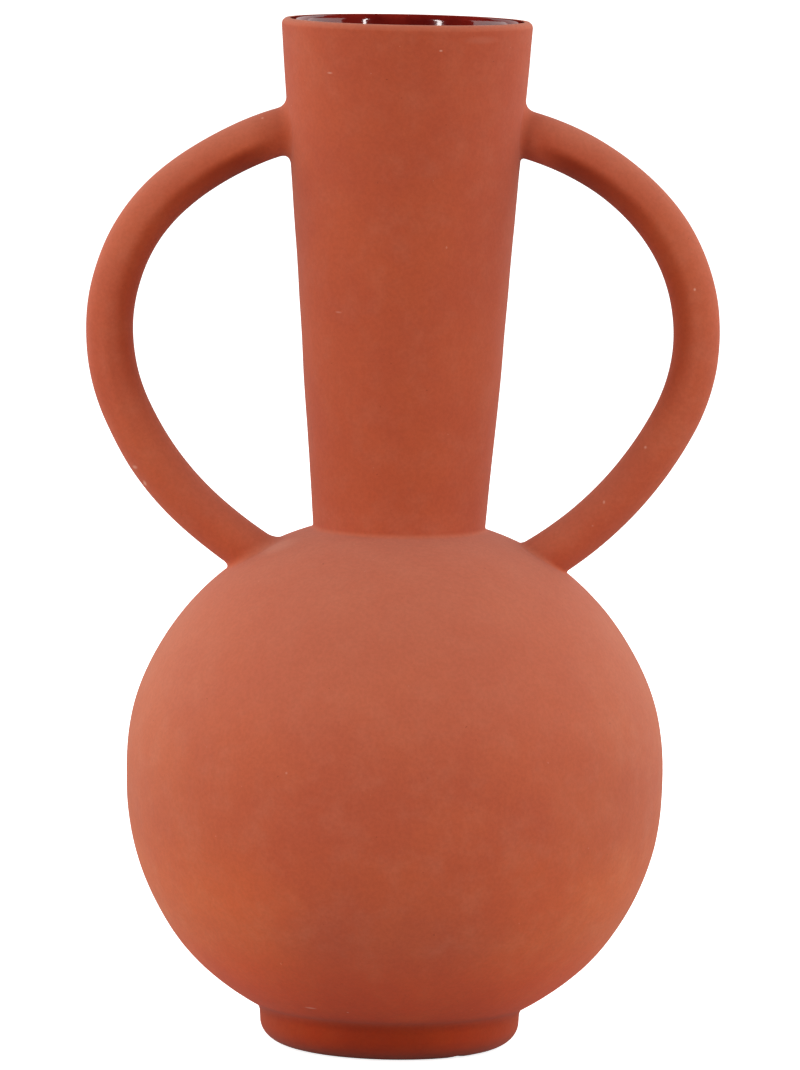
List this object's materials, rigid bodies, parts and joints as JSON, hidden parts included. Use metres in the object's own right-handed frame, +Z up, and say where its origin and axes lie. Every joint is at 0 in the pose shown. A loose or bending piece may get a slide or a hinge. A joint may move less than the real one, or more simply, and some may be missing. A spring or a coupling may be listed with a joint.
{
  "type": "amphora vase",
  "caption": "Terracotta amphora-style vase: round body on a low foot ring, tall neck widening to the mouth, ear-shaped rod handles, and a glossy red glaze lining inside.",
  "frame": {"origin": "middle of the flat face that the foot ring stands on", "axes": "+Z up through the mouth; +X towards the right handle; -Y is the front, so the two handles lie along X and the depth along Y"},
  "size_m": [0.1846, 0.1568, 0.3],
  "materials": {
    "terracotta": "matte",
    "slip": "matte",
    "glaze": "gloss"
  },
  "bodies": {
    "root": {"foot_ring": "terracotta", "lower_bowl": "terracotta", "upper_dome": "terracotta", "neck": "terracotta", "handle_left": "terracotta", "handle_right": "terracotta", "foot_slip": "slip", "equator_slip": "slip", "neck_slip": "slip", "left_upper_slip": "slip", "left_lower_slip": "slip", "right_upper_slip": "slip", "right_lower_slip": "slip", "glaze_lining": "glaze"}
  },
  "joints": []
}
